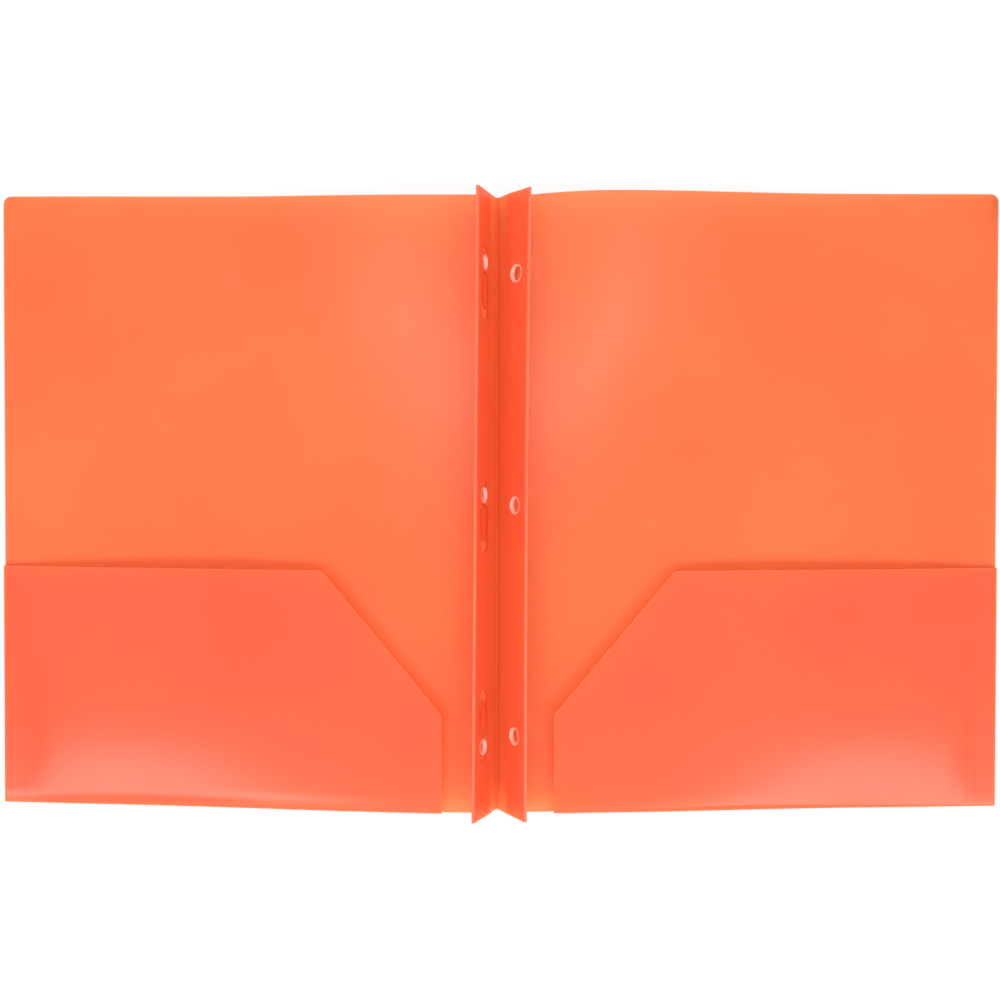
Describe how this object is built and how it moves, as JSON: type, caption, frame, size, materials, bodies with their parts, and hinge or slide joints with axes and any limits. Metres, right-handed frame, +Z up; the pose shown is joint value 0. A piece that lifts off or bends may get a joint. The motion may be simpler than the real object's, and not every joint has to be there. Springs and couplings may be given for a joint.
{
  "type": "two pocket folder",
  "caption": "Open plastic folder with a slanted pocket on each cover and a spine of upright fins that carry page prongs and ring holes.",
  "frame": {"origin": "on the table, under the middle of the open folder", "axes": "+X across the open folder towards the right cover, +Y along the spine towards the top edge, +Z up off the table"},
  "size_m": [0.477, 0.292, 0.0276],
  "materials": {
    "poly_sheet": "translucent orange polypropylene sheet with a fine satin grain"
  },
  "bodies": {
    "right_leaf": {"right_cover": "poly_sheet", "right_pocket_panel": "poly_sheet", "right_pocket_bottom_fold": "poly_sheet", "right_pocket_side_fold": "poly_sheet", "right_pocket_side_tab": "poly_sheet", "right_base_crease": "poly_sheet"},
    "right_fin": {"right_fin_outer_layer": "poly_sheet", "right_fin_inner_layer": "poly_sheet", "right_ridge_fold": "poly_sheet", "valley_crease": "poly_sheet"},
    "left_fin": {"left_fin_outer_layer": "poly_sheet", "left_fin_inner_layer": "poly_sheet", "left_ridge_fold": "poly_sheet"},
    "left_leaf": {"left_cover": "poly_sheet", "left_pocket_panel": "poly_sheet", "left_pocket_bottom_fold": "poly_sheet", "left_pocket_side_fold": "poly_sheet", "left_pocket_side_tab": "poly_sheet", "left_base_crease": "poly_sheet"},
    "prong_top": {"prong_top": "poly_sheet"},
    "prong_middle": {"prong_middle": "poly_sheet"},
    "prong_bottom": {"prong_bottom": "poly_sheet"}
  },
  "joints": [
    {"name": "right_base_hinge", "type": "hinge", "parent": "right_leaf", "child": "right_fin", "pos_m": [0.00748, 0, 0.01098], "axis": [0, -1, 0], "range_deg": [-61.19, 0], "deforming": ["right_base_crease"]},
    {"name": "valley_hinge", "type": "hinge", "parent": "right_fin", "child": "left_fin", "pos_m": [-0.00071, 0, 0.0054], "axis": [0, -1, 0], "range_deg": [-50, 0], "deforming": ["valley_crease"]},
    {"name": "left_base_hinge", "type": "hinge", "parent": "left_fin", "child": "left_leaf", "pos_m": [-0.00756, 0, 0.01256], "axis": [0, -1, 0], "range_deg": [-73.58, 0], "deforming": ["left_base_crease"]},
    {"name": "prong_top_hinge", "type": "hinge", "parent": "left_fin", "child": "prong_top", "pos_m": [-0.00673, 0.10795, 0.01967], "axis": [-0.3256, 0, 0.9455], "range_deg": [0, 90]},
    {"name": "prong_middle_hinge", "type": "hinge", "parent": "left_fin", "child": "prong_middle", "pos_m": [-0.00673, 0, 0.01967], "axis": [-0.3256, 0, 0.9455], "range_deg": [0, 90]},
    {"name": "prong_bottom_hinge", "type": "hinge", "parent": "left_fin", "child": "prong_bottom", "pos_m": [-0.00673, -0.10795, 0.01967], "axis": [0.3256, 0, -0.9455], "range_deg": [0, 90]}
  ]
}
